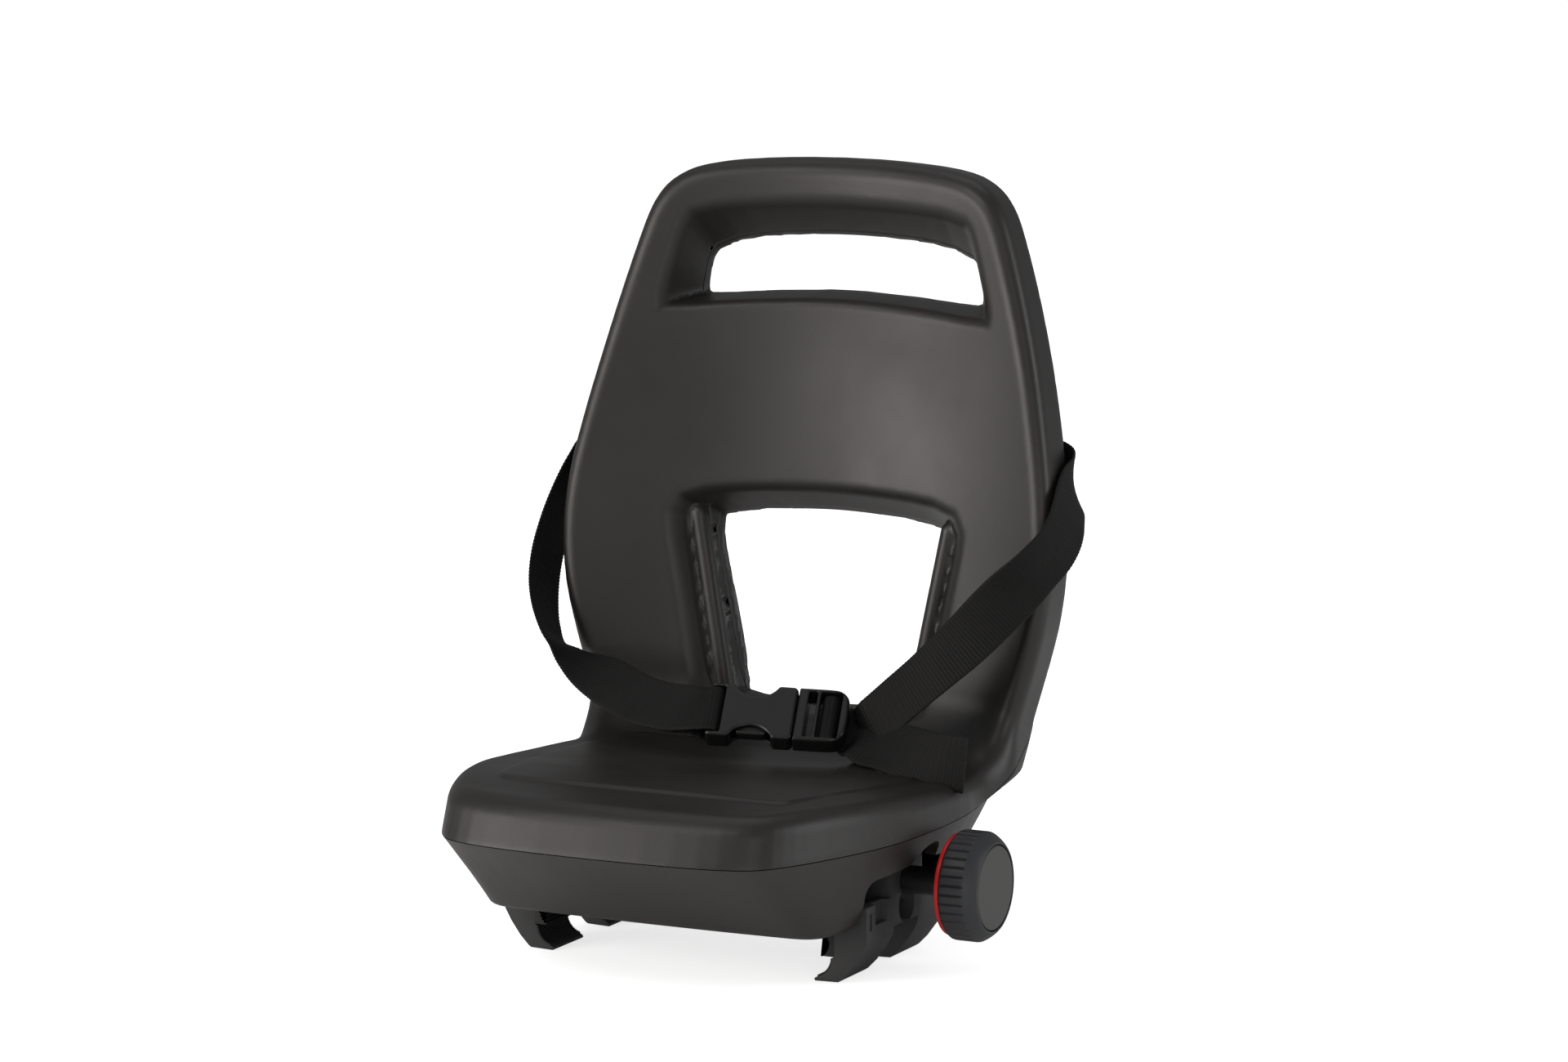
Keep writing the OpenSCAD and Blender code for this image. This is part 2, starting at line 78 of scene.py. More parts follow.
# ---------------------------------------------------------------- camera
AZ, EL = math.radians(26.45), math.radians(8.5)
look = Vector((-math.sin(AZ) * math.cos(EL), math.cos(AZ) * math.cos(EL), -math.sin(EL)))
right = Vector((math.cos(AZ), math.sin(AZ), 0.0))
up = right.cross(look)
cam_data = bpy.data.cameras.new("camera")
cam_data.sensor_width = 36.0
cam_data.sensor_fit = "HORIZONTAL"
cam_data.lens = 119.57
cam_data.clip_start = 0.05
cam_data.clip_end = 60.0
cam = bpy.data.objects.new("camera", cam_data)
bpy.context.scene.collection.objects.link(cam)
basis = Matrix((right, up, -look)).transposed().to_4x4()
cam.matrix_world = Matrix.Translation((1.2385, -2.4182, 0.6001)) @ basis
bpy.context.scene.camera = cam


# ---------------------------------------------------------------- mesh helpers
def new_object(name, verts, faces, smooth=True, scale=MM):
    me = bpy.data.meshes.new(name)
    me.from_pydata([tuple(float(c) * scale for c in v) for v in verts], [], [tuple(int(i) for i in f) for f in faces])
    me.update()
    ob = bpy.data.objects.new(name, me)
    bpy.context.scene.collection.objects.link(ob)
    if smooth:
        me.polygons.foreach_set("use_smooth", np.ones(len(me.polygons), bool))
    return ob


def quads_object(name, verts, quads):
    me = bpy.data.meshes.new(name)
    me.vertices.add(len(verts))
    me.vertices.foreach_set("co", (np.asarray(verts) * MM).astype(np.float32).ravel())
    n = len(quads)
    me.loops.add(4 * n)
    me.loops.foreach_set("vertex_index", np.asarray(quads, np.int32).ravel())
    me.polygons.add(n)
    me.polygons.foreach_set("loop_start", np.arange(0, 4 * n, 4, dtype=np.int32))
    me.polygons.foreach_set("use_smooth", np.ones(n, bool))
    me.update(calc_edges=True)
    me.validate()
    ob = bpy.data.objects.new(name, me)
    bpy.context.scene.collection.objects.link(ob)
    return ob


def sharp_by_angle(ob, degrees):
    bm = bmesh.new()
    bm.from_mesh(ob.data)
    lim = math.radians(degrees)
    for e in bm.edges:
        if len(e.link_faces) == 2 and e.calc_face_angle(0.0) > lim:
            e.smooth = False
    bm.to_mesh(ob.data)
    bm.free()


# ---------------------------------------------------------------- shape fields (mm)
def rmax(a, b, r):
    """Intersection with a round edge of radius r."""
    return np.minimum(np.maximum(a, b), -r) + np.hypot(np.maximum(a + r, 0), np.maximum(b + r, 0))


def rmin(a, b, r):
    """Union with a round fillet of radius r."""
    return -rmax(-a, -b, r)


def smooth_table(points, step=1.0):
    """A smooth curve through the points of a table, without overshoot."""
    p = np.array(points, float)
    x, y = p[:, 0], p[:, 1]
    d = np.diff(y) / np.diff(x)
    m = np.zeros(len(x))
    m[1:-1] = np.where(d[:-1] * d[1:] > 0, 2 * d[:-1] * d[1:] / (d[:-1] + d[1:] + 1e-12), 0)
    m[0], m[-1] = d[0], d[-1]
    xs = np.arange(x[0], x[-1] + step, step)
    i = np.clip(np.searchsorted(x, xs, "right") - 1, 0, len(x) - 2)
    h = x[i + 1] - x[i]
    t = np.clip((xs - x[i]) / h, 0, 1)
    ys = ((2 * t**3 - 3 * t**2 + 1) * y[i] + (t**3 - 2 * t**2 + t) * h * m[i]
          + (-2 * t**3 + 3 * t**2) * y[i + 1] + (t**3 - t**2) * h * m[i + 1])
    for _ in range(2):
        ys[1:-1] = (ys[:-2] + ys[1:-1] * 2 + ys[2:]) / 4
    return lambda v: np.interp(v, xs, ys)


def chaikin(pts, n=1):
    p = np.array(pts, float)
    for _ in range(n):
        q = np.roll(p, -1, 0)
        p = np.stack([p * 0.75 + q * 0.25, p * 0.25 + q * 0.75], 1).reshape(-1, p.shape[1])
    return p


def sdpoly(px, pz, a):
    """Signed distance to a polygon. The corners may depend on the point."""
    d, s = None, None
    n = len(a)
    for i in range(n):
        ax, az = a[i]
        bx, bz = a[i - 1]
        ex, ez = bx - ax, bz - az
        wx, wz = px - ax, pz - az
        t = np.clip((wx * ex + wz * ez) / (ex * ex + ez * ez + 1e-9), 0, 1)
        dd = (wx - ex * t) ** 2 + (wz - ez * t) ** 2
        d = dd if d is None else np.minimum(d, dd)
        c1, c2, c3 = pz >= az, pz < bz, ex * wz > ez * wx
        flip = (c1 & c2 & c3) | (~c1 & ~c2 & ~c3)
        s = flip if s is None else s ^ flip
    return np.where(s, -1.0, 1.0) * np.sqrt(d)


YC = smooth_table([(-20, 100), (20, 102), (50, 104), (80, 107), (100, 110), (130, 113.5), (160, 116), (200, 119.5),
                   (240, 124.5), (280, 129), (320, 131), (360, 131.7), (420, 132)])
YR = smooth_table([(-20, 128), (50, 132), (80, 134.5), (120, 137), (160, 139.5), (200, 143.5), (240, 149), (280, 153.5),
                   (320, 156), (360, 156.7), (420, 157)])
WZ = [(30, 117), (40, 120), (60, 124), (80, 128), (100, 134), (120, 140), (140, 145), (160, 147.5), (180, 148), (200, 146.5),
      (220, 143.5), (240, 139.5), (260, 135), (280, 130), (300, 124.5), (320, 118.5), (340, 112), (352, 107.5),
      (360, 103), (366, 98), (371, 91), (375, 82), (378, 66), (380, 40), (381, 14), (381, -60)]
V_SIDE = np.array([(-60, -30), (96, -30)] + [(w, z) for z, w in WZ], float)
V_SIDE = np.vstack([V_SIDE[:2], chaikin(V_SIDE, 1)[5:-3], V_SIDE[-1:]])
# outlines of the seat at the underside, at the split line and at its upper edge, point for point
PLAN_0 = [(-60, -90), (0, -90), (40, -89.5), (68, -88.5), (85, -87.5), (90.5, -86), (95, -83), (98, -79), (99.5, -74), (100.3, -68),
          (100.8, -60), (101, -48), (101, -25), (101, 0), (101, 30), (99, 60), (95, 90), (88, 140), (-60, 140)]
PLAN_47 = [(-60, -154), (0, -154), (40, -153), (68, -150), (85, -144.5), (93.5, -137.5), (100.5, -126), (107.5, -111), (113, -96.5),
           (117.5, -84), (122, -68), (126, -48), (128, -25), (128.5, 0), (127.5, 30), (122.5, 60), (115, 90), (101, 140), (-60, 140)]
PLAN_72 = [(-60, -144), (0, -144), (40, -143), (66, -140), (83, -135.5), (91.5, -129.5), (98.5, -119.5), (105.5, -106.5), (111, -93.5),
           (115.5, -82), (120, -67), (124, -48), (126, -25), (126.5, 0), (126, 30), (121.5, 60), (115, 90), (102, 140), (-60, 140)]


def rounder(p):
    p = np.array(p, float)
    return np.vstack([[p[0]], chaikin(p, 1)[1:-3], [p[-2], p[-1]]])


V_0, V_47, V_72 = rounder(PLAN_0), rounder(PLAN_47), rounder(PLAN_72)


def loft(ax, y, z):
    lo, hi = np.clip(z / 47.0, 0, 1), np.clip((z - 47.0) / 25.0, 0, 1.4)
    return sdpoly(ax, y, [(a0 + (a1 - a0) * lo + (a2 - a1) * hi, b0 + (b1 - b0) * lo + (b2 - b1) * hi)
                          for (a0, b0), (a1, b1), (a2, b2) in zip(V_0, V_47, V_72)])


V_PANEL = np.array([(-60, -98), (80, -97), (84.5, -93), (88, -80), (99, -24), (103, 10), (103, 34), (100, 56), (95, 66),
                    (86, 71), (60, 72.5), (-60, 73)], float)
ZT = smooth_table([(-170, 71.6), (-124, 71.8), (-98, 72), (-60, 70.8), (-20, 68), (20, 65.5), (50, 64.5), (72, 64.3), (160, 64)])

HANDLE_F = [(0, 358), (45, 356.5), (78, 353.5), (84, 350), (87, 345), (100, 301), (98, 297.5), (60, 301.5), (0, 304.5)]
HANDLE_B = [(0, 338), (45, 336), (72, 331), (79, 326), (81.5, 320), (83.5, 306), (82, 303), (50, 306), (0, 308.5)]
WINDOW_F = [(0, 202), (50, 200), (76, 197), (85, 192), (89, 184), (80, 138), (71, 92), (66, 84), (40, 80), (0, 79)]
WINDOW_B = [(0, 187), (40, 185.5), (66, 181.5), (69.5, 178), (54, 114), (50, 90), (46, 84), (0, 83)]


def outline(half, n=72, rounds=1):
    """Points round the half outline, with the corners cut in each round, closed behind the middle plane, so two
    outlines pair up.
    """
    p = np.array(half, float)
    p = np.vstack([[(-60, p[0, 1])], p, [(-60, p[-1, 1])]])
    for _ in range(rounds):
        q = [p[0]]
        for a, b in zip(p[1:-2], p[2:-1]):
            q += [a * 0.75 + b * 0.25, a * 0.25 + b * 0.75]
        p = np.vstack([q, p[-1:]])
    return p


def paired(f, b, n=30):
    """Both outlines resampled to the same number of points, by their share of the way round."""
    def even(p, anchors):
        out = [p[0]]
        s = np.concatenate([[0], np.cumsum(np.hypot(*np.diff(p, axis=0).T))])
        for k in range(len(anchors) - 1):
            lo, hi = s[anchors[k]], s[anchors[k + 1]]
            for t in np.linspace(lo, hi, n // 3 + 1)[1:]:
                out.append([np.interp(t, s, p[:, 0]), np.interp(t, s, p[:, 1])])
        return np.array(out)

    def corners(p):
        top = int(np.argmax(p[:, 0] * 0.6 + p[:, 1] * 0.8))
        low = top + int(np.argmax((p[top:, 0] * 0.75 - p[top:, 1] * 0.66)))
        return [0, top, low, len(p) - 1]
    return even(f, corners(f)), even(b, corners(b))


HF, HB = paired(outline(HANDLE_F), outline(HANDLE_B))
WF, WB = paired(outline(WINDOW_F), outline(WINDOW_B))


def funnel(x, y, z, f, b):
    """An opening that has outline f at the backrest's face and outline b at its rear."""
    y0, y1 = YC(z) - x * x / 666.0, YR(z) - x * x / 1200.0 - 3.0
    t = np.clip((y - y0) / (y1 - y0), 0, 1)
    return sdpoly(np.abs(x), z, [(fx + (bx - fx) * t, fz + (bz - fz) * t) for (fx, fz), (bx, bz) in zip(f, b)])


def boxed(x, y, z, lo, hi, fn, far=30.0):
    """Evaluates fn only for the points between lo and hi, and gives far elsewhere."""
    shape = np.broadcast(x, y, z).shape
    out = np.full(shape, far)
    if len(shape) == 3:
        ix = np.where((x.ravel() >= lo[0]) & (x.ravel() <= hi[0]))[0]
        iy = np.where((y.ravel() >= lo[1]) & (y.ravel() <= hi[1]))[0]
        iz = np.where((z.ravel() >= lo[2]) & (z.ravel() <= hi[2]))[0]
        if len(ix) and len(iy) and len(iz):
            sx, sy, sz = slice(ix[0], ix[-1] + 1), slice(iy[0], iy[-1] + 1), slice(iz[0], iz[-1] + 1)
            out[sx, sy, sz] = fn(x[sx], y[:, sy], z[:, :, sz])
        return out
    m = (x >= lo[0]) & (x <= hi[0]) & (y >= lo[1]) & (y <= hi[1]) & (z >= lo[2]) & (z <= hi[2])
    if m.any():
        out[m] = fn(x[m], y[m], z[m])
    return out


def capsule(x, y, z, a, b, r, flat=1.0):
    """A rod with round ends from a to b, squeezed along y by flat."""
    a, b = np.array(a, float), np.array(b, float)
    e = b - a
    t = np.clip(((x - a[0]) * e[0] + (y - a[1]) * e[1] + (z - a[2]) * e[2]) / (e @ e), 0, 1)
    return np.sqrt((x - a[0] - e[0] * t) ** 2 + ((y - a[1] - e[1] * t) / flat) ** 2 + (z - a[2] - e[2] * t) ** 2) - r


def step(d, w):
    t = np.clip(0.5 - d / (2 * w), 0, 1)
    return t * t * (3 - 2 * t)


def bucket(x, y, z):
    """The whole outer shape of seat and backrest, with its two openings."""
    ax = np.abs(x)
    d_face = (YC(z) - x * x / 666.0 - y) / np.sqrt(1 + (x / 333.0) ** 2)
    d_rear = (y - YR(z) + x * x / 1200.0) / np.sqrt(1 + (x / 600.0) ** 2)
    d_side = sdpoly(ax, z, V_SIDE)
    back = rmax(rmax(d_face, d_side, 10.5), d_rear, 9.0)
    d_plan = boxed(x, y, z, (-200, -200, -50), (200, 200, 112), lambda a, b, c: loft(np.abs(a), b, c), 60.0)
    top = ZT(y) + 1.5 * step(sdpoly(ax, y, V_PANEL), 1.1)
    pan = rmax(d_plan, z - top, 9.0)
    d = rmin(pan, back, 34.0)
    low = np.where(z > 111, -60.0, d_plan - 1.3 * np.maximum(z - 47, 0))
    d = rmax(d, rmax(low, -z, 3.0), 1.0)
    d = rmax(d, ((y - 84) * 52.0 - (z - 30) * 45.0) / 68.8, 11.0)
    h = boxed(x, y, z, (-112, 60, 285), (112, 175, 372), lambda a, b, c: funnel(a, b, c, HF, HB))
    d = rmax(d, -h, 4.5)
    w = boxed(x, y, z, (-102, 60, 66), (102, 175, 214), lambda a, b, c: funnel(a, b, c, WF, WB))
    d = rmax(d, -w, 4.5)
    post = boxed(x, y, z, (-90, 100, 72), (90, 140, 200),
                 lambda a, b, c: capsule(np.abs(a), b, c, (76.5, 120, 183), (58, 115, 86), 5.2))
    return rmin(d, post, 1.6)


def parting(x, y, z):
    """Below zero on the upper shell's side of the split."""
    line = -((z - 47) * 110.0 - (y - 60) * 60.0) / 125.3
    return np.maximum(np.maximum(47 - z, line), y - (YR(z) - x * x / 1200.0) + 7.0)


ARCH = chaikin([(-51, -9), (-51, 6), (-52, 13), (-57, 20), (-57, 25.5), (-53, 27.6), (-19, 28), (-15, 30), (-11, 35.5), (-4.5, 38.4),
                (4.5, 38.4), (11, 35), (14, 29), (16, 27.5), (50, 27.5), (50, -9)], 1)


def arch(x, y, z):
    return np.maximum(sdpoly(y, z, ARCH), 60 - np.abs(x))


# ---------------------------------------------------------------- surface nets with crisp edges
def contour(fields, lo, hi, h, relax=2):
    """Mesh of the zero surface of the largest of several fields. Edges where two fields meet stay crisp."""
    xs, ys, zs = (np.arange(lo[k], hi[k] + h, h) for k in range(3))
    X, Y, Z = xs[:, None, None], ys[None, :, None], zs[None, None, :]
    F, A = None, None
    for k, f in enumerate(fields):
        v = np.broadcast_to(f(X, Y, Z), (len(xs), len(ys), len(zs))).astype(np.float32)
        if F is None:
            F, A = v.copy(), np.zeros(v.shape, np.uint8)
        else:
            m = v > F
            F[m] = v[m]
            A[m] = k
    S = F < 0
    n = [len(xs) - 1, len(ys) - 1, len(zs) - 1]
    cnt = np.zeros(n, np.uint8)
    offs = [(i, j, k) for i in (0, 1) for j in (0, 1) for k in (0, 1)]
    for i, j, k in offs:
        cnt += S[i:i + n[0], j:j + n[1], k:k + n[2]]
    mixed = (cnt > 0) & (cnt < 8)
    ci, cj, ck = np.where(mixed)
    ids = np.full(n, -1, np.int64)
    ids[ci, cj, ck] = np.arange(len(ci))
    pos = np.zeros((len(ci), 3))
    num = np.zeros(len(ci))
    act = np.zeros(len(ci), np.uint32)
    base = np.stack([ci, cj, ck], 1)
    for a in offs:
        for axis in range(3):
            if a[axis]:
                continue
            b = list(a)
            b[axis] = 1
            fa = F[ci + a[0], cj + a[1], ck + a[2]]
            fb = F[ci + b[0], cj + b[1], ck + b[2]]
            m = (fa < 0) != (fb < 0)
            t = fa[m] / (fa[m] - fb[m])
            p = (base[m] + np.array(a)).astype(float)
            p[:, axis] += t
            pos[m] += p
            num[m] += 1
            ka = A[ci + a[0], cj + a[1], ck + a[2]][m]
            kb = A[ci + b[0], cj + b[1], ck + b[2]][m]
            k = np.where(fa[m] < 0, kb, ka).astype(np.uint32)
            act[m] |= (1 << k).astype(np.uint32)
    pos = pos / num[:, None] * h + np.array(lo, float)
    quads = []
    for axis in range(3):
        sl_a = [slice(1, n[d]) if d != axis else slice(0, n[d]) for d in range(3)]
        a = S[tuple(slice(s.start, s.stop) for s in sl_a)]
        sl_b = [slice(s.start + (1 if d == axis else 0), s.stop + (1 if d == axis else 0)) for d, s in enumerate(sl_a)]
        b = S[tuple(sl_b)]
        e = np.stack(np.where(a != b), 1)
        flip = ~a[tuple(e.T)]
        g = e + np.array([s.start for s in sl_a])
        u, v = [d for d in range(3) if d != axis]
        if axis == 1:
            u, v = v, u

        def cell(du, dv):
            q = g.copy()
            q[:, u] -= du
            q[:, v] -= dv
            return ids[tuple(q.T)]
        q = np.stack([cell(1, 1), cell(0, 1), cell(0, 0), cell(1, 0)], 1)
        q[flip] = q[flip][:, ::-1]
        quads.append(q)
    quads = np.vstack(quads)
    rest = pos.copy()
    for it in range(relax + 1):
        if it:
            acc = np.zeros_like(pos)
            w = np.zeros(len(pos))
            for k in range(4):
                i, j = quads[:, k], quads[:, (k + 1) % 4]
                np.add.at(acc, i, pos[j])
                np.add.at(acc, j, pos[i])
                np.add.at(w, i, 1)
                np.add.at(w, j, 1)
            move = acc / w[:, None] - pos
            multi = (act & (act - 1)) != 0
            move[multi] = 0
            pos = pos + 0.5 * move
        for _ in range(2):
            pos = project(pos, fields, act, h, rest)
    return pos, quads, act


def grads(f, p, e=0.05):
    x, y, z = p.T
    v = f(x, y, z)
    g = np.stack([f(x + e, y, z) - v, f(x, y + e, z) - v, f(x, y, z + e) - v], 1) / e
    return v, g


def project(pos, fields, act, h, rest):
    out = pos.copy()
    val, gra = {}, {}
    for k, f in enumerate(fields):
        m = (act >> k) & 1 == 1
        if m.any():
            v, g = grads(f, pos[m])
            full_v = np.zeros(len(pos))
            full_g = np.zeros((len(pos), 3))
            full_v[m], full_g[m] = v, g
            val[k], gra[k] = full_v, full_g
    bits = np.zeros(len(pos), int)
    for k in val:
        bits += ((act >> k) & 1).astype(int)
    one = bits == 1
    for k in val:
        m = one & ((act >> k) & 1 == 1)
        g, v = gra[k][m], val[k][m]
        out[m] -= g * (v / np.maximum((g * g).sum(1), 0.05))[:, None]
    for combo in np.unique(act[bits > 1]):
        ks = [k for k in val if (combo >> k) & 1]
        m = act == combo
        J = np.stack([gra[k][m] for k in ks], 1)
        r = np.stack([val[k][m] for k in ks], 1)
        JJ = J @ J.transpose(0, 2, 1) + np.eye(len(ks)) * 0.02
        s = np.linalg.solve(JJ, r[:, :, None])
        out[m] -= (J.transpose(0, 2, 1) @ s)[:, :, 0]
    d = out - rest
    n = np.linalg.norm(d, axis=1)
    k = np.minimum(1, 1.6 * h / np.maximum(n, 1e-9))
    return rest + d * k[:, None]


H = 2.05
WALL = 7.0
up_fields = [bucket, lambda x, y, z: parting(x, y, z) + 0.28, lambda x, y, z: -(bucket(x, y, z) + WALL)]
low_fields = [bucket, lambda x, y, z: 0.28 - parting(x, y, z), lambda x, y, z: -(bucket(x, y, z) + WALL),
              lambda x, y, z: -arch(x, y, z)]
v, q, act = contour(up_fields, (-152, -158, 40), (152, 156, 386), H)
seat = quads_object("seat_shell_skin", v, q)
sharp_by_angle(seat, 50)
note(f"seat shell {len(q)} quads")
v, q, act = contour(low_fields, (-152, -158, -4), (152, 162, 386), H)
rear = quads_object("back_shell_skin", v, q)
sharp_by_angle(rear, 50)
note(f"back shell {len(q)} quads")
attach(seat, "seat")
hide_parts("seat_shell")
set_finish(seat, "shell_plastic")
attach(rear, "seat")
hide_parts("back_shell")
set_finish(rear, "base_plastic")


# ---------------------------------------------------------------- belt
BUCKLE = np.array([22.0, 42.0, 88.0])
LEAN, PITCH, YAW = math.radians(50), math.radians(2), math.radians(18)


def turned(x, y, z):
    """A direction in the buckle's level frame, turned into the part's frame."""
    a, c = x * math.cos(PITCH) + z * math.sin(PITCH), z * math.cos(PITCH) - x * math.sin(PITCH)
    return np.array([a * math.cos(YAW) - y * math.sin(YAW), a * math.sin(YAW) + y * math.cos(YAW), c])


def bk(x, z):
    """Point of the belt in the buckle's own frame: x along the belt, z out of its face."""
    return BUCKLE + turned(x, -z * math.cos(LEAN), z * math.sin(LEAN))


def bw(deg):
    """Half width across the belt, rolled by a few degrees in its own plane."""
    r = math.radians(deg)
    return turned(15 * math.sin(r), 15 * math.cos(r) * math.sin(LEAN), 15 * math.cos(r) * math.cos(LEAN))


LEFT = [
    ((-112, 138.3, 229.5), (-7, 0.8, 13.2)), ((-126, 134.6, 222), (-7, 0.5, 13.2)), ((-140, 132.4, 214), (-7, -0.5, 13.2)),
    ((-148.8, 127, 206), (-5, -5, 13.2)), ((-152.2, 118.4, 199), (-2.5, -9.5, 11.3)), ((-155, 108, 187), (-1.5, -11.7, 9.3)),
    ((-157, 98, 171), (-1.6, -12.3, 8.5)), ((-157, 89, 154), (-2.2, -12.7, 7.9)), ((-154, 81, 138.5), (-2, -13.3, 6.9)),
    ((-148.4, 74, 126), (-0.6, -13.8, 5.9)), ((-139.6, 67.4, 115.4), (0.8, -14.1, 4.9)), ((-131, 65.5, 110.5), (1, -14.9, 1.2)),
    ((-120, 61.5, 105.5), (-1, -14.5, -3.4)), ((-106, 55.5, 100.3), (-3.6, -12, -8)), ((-88, 47, 95), (-3.4, -10.6, -10)),
    ((-70, 38, 91.6), (0, -10.6, -10.6)), ((-53, 31, 91), (2.6, -10.8, -10)), (bk(-51, 4.5), -bw(0)), (bk(-46, 5.2), -bw(0)),
    (bk(-43, 4.8), -bw(0)), (bk(-41.6, 3), -bw(0)), (bk(-41.4, 0.5), -bw(0)), (bk(-41.6, -2.4), -bw(0)),
    (bk(-43, -4.3), -bw(0)), (bk(-46.5, -4.8), -bw(0)), (bk(-52, -2.6), -bw(0)), ((-39, 30.2, 88.6), -bw(0)),
    ((-48, 34, 88.2), (2.8, -10.8, -10))]
RIGHT = [
    ((112, 138.3, 226), (4, 0.4, 14.4)), ((126, 134.9, 222), (4, 0.2, 14.4)), ((138, 132.8, 217.5), (3.4, -0.4, 14.6)),
    ((144.8, 126.8, 213.5), (-0.5, -1.5, 14.9)), ((148.8, 118.4, 209), (-4, -4.5, 13.8)), ((151.5, 110, 204), (-4.8, -6.6, 12.6)),
    ((154, 101.5, 198), (-5, -8, 11.6)), ((154.8, 94.2, 191), (-5, -9, 10.8)), ((153, 86.6, 183), (-5.4, -9.4, 10.4)),
    ((146.2, 77.2, 172.4), (-6.4, -8.8, 10.4)), ((130, 71, 155), (-9.6, -3.4, 11)), ((110, 62, 132.5), (-12, 1.6, 8.8)),
    ((92, 55.4, 114.8), (-11, 5, 8.8)), ((75.5, 52, 99.6), (-10.5, 5.6, 9)), ((62.5, 52.8, 88.2), (-10.8, 6, 8.4)),
    (bk(33, -9.4) - (0, 1, 1.4), bw(-36)), (bk(25, -8.2), bw(-20)), (bk(18, -6.8), bw(-8)), (bk(14.4, -4.6), bw(-2)),
    (bk(13.6, -1.5), bw(0)), (bk(14, 1.5), bw(0)), (bk(15.4, 2.9), bw(0)), (bk(17.6, 3.2), bw(0)), (bk(19.8, 2.8), bw(0)),
    (bk(21.3, 1.2), bw(0)), (bk(21.8, -1.6), bw(0)), (bk(23, -4), bw(0)), (bk(26, -5.4), bw(2)),
    ((50.6, 54, 80.4), (-3, 12, 8.4)), ((58, 50, 79.5), (-2.4, 12.6, 7.8)), ((66, 45.5, 77.8), (-0.8, 12, 9)),
    ((76, 40, 78.4), (0.6, 11, 10.2)), ((91, 32, 78.2), (1.6, 8.5, 12.2)), ((110, 25, 76.5), (2.6, 5, 13.9)),
    ((130.5, 22, 75.6), (3.4, 0.6, 14.1))]

RIB = 2.0     # pitch of the woven ribs


def spline(values, at, x):
    """Catmull-Rom through values given at the places at (centripetal-like, by chord length)."""
    v = np.asarray(values, float)
    m = np.zeros_like(v)
    h = np.diff(at)[:, None]
    d = np.diff(v, axis=0) / h
    m[1:-1] = (d[:-1] * h[1:] + d[1:] * h[:-1]) / (h[:-1] + h[1:])
    m[0], m[-1] = d[0], d[-1]
    i = np.clip(np.searchsorted(at, x, "right") - 1, 0, len(at) - 2)
    hh = (at[i + 1] - at[i])[:, None]
    t = ((x - at[i])[:, None]) / hh
    return ((2 * t**3 - 3 * t**2 + 1) * v[i] + (t**3 - 2 * t**2 + t) * hh * m[i]
            + (-2 * t**3 + 3 * t**2) * v[i + 1] + (t**3 - t**2) * hh * m[i + 1])


def webbing(name, stations, thick=1.8, half=15.0, cut_angle=0.0):
    """Woven belt webbing: ribs across it in relief, a corded edge, and lengthwise places for the weave."""
    c = np.array([np.asarray(a, float) for a, _ in stations])
    w = np.array([np.asarray(b, float) for _, b in stations])
    w = w / np.linalg.norm(w, axis=1)[:, None]
    at = np.concatenate([[0], np.cumsum(np.linalg.norm(np.diff(c, axis=0), axis=1))])
    fine = np.linspace(0, at[-1], 4000)
    pc = spline(c, at, fine)
    s = np.concatenate([[0], np.cumsum(np.linalg.norm(np.diff(pc, axis=0), axis=1))])
    ds = RIB / 6
    n = int(s[-1] / ds)
    ss = np.linspace(0, s[-1], n)
    x = np.interp(ss, s, fine)
    P = spline(c, at, x)
    Wd = spline(w, at, x)
    T = np.gradient(P, axis=0)
    T /= np.linalg.norm(T, axis=1)[:, None]
    Wd -= T * (Wd * T).sum(1)[:, None]
    Wd /= np.linalg.norm(Wd, axis=1)[:, None]
    N = np.cross(T, Wd)
    rib = 0.5 + 0.5 * np.cos(2 * math.pi * ss / RIB)
    # round the section: across from -half to half on one face and back on the other
    a = np.array([-1, -0.975, -0.93, -0.86, -0.7, -0.35, 0, 0.35, 0.7, 0.86, 0.93, 0.975, 1.0])
    hgt = np.array([0, 0.62, 0.92, 1.02, 0.96, 0.94, 0.94, 0.94, 0.96, 1.02, 0.92, 0.62, 0])
    sec = [(u, h, 1) for u, h in zip(a, hgt)] + [(u, h, -1) for u, h in zip(a[-2:0:-1], hgt[-2:0:-1])]
    m = len(sec)
    verts = np.zeros((n, m, 3))
    uv = np.zeros((m, 2))
    for k, (u, h, side) in enumerate(sec):
        edge = abs(u) > 0.9
        depth = (thick / 2) * h * side - side * (0.0 if h == 0 else 0.24) * (1 - rib) * (0.6 if edge else 1.0)
        wide = u * (half - (0.22 * (1 - rib) if abs(u) > 0.97 else 0.0))
        verts[:, k] = P + Wd * np.reshape(wide * np.ones(n), (n, 1)) + N * np.reshape(depth * np.ones(n), (n, 1))
        uv[k] = (0, u * half)
    quads = []
    i = np.arange(n - 1)
    for k in range(m):
        k2 = (k + 1) % m
        quads.append(np.stack([i * m + k, i * m + k2, (i + 1) * m + k2, (i + 1) * m + k], 1))
    quads = np.vstack(quads)
    ob = quads_object(name, verts.reshape(-1, 3), quads)
    bm = bmesh.new()
    bm.from_mesh(ob.data)
    bm.verts.ensure_lookup_table()
    for ring, rev in ((0, False), (n - 1, True)):
        ring_v = [bm.verts[ring * m + k] for k in range(m)]
        f = bm.faces.new(ring_v if rev else ring_v[::-1])
        f.smooth = False
    bmesh.ops.recalc_face_normals(bm, faces=bm.faces)
    bm.to_mesh(ob.data)
    bm.free()
    # the weave's own coordinates, in metres along and across
    along = np.repeat(ss, m) * MM
    acr = np.tile(np.array([u * half for u, _, _ in sec]), n) * MM
    for label, data in (("along", along), ("across", acr)):
        at_ = ob.data.attributes.new(label, "FLOAT", "POINT")
        at_.data.foreach_set("value", data.astype(np.float32))
    return ob


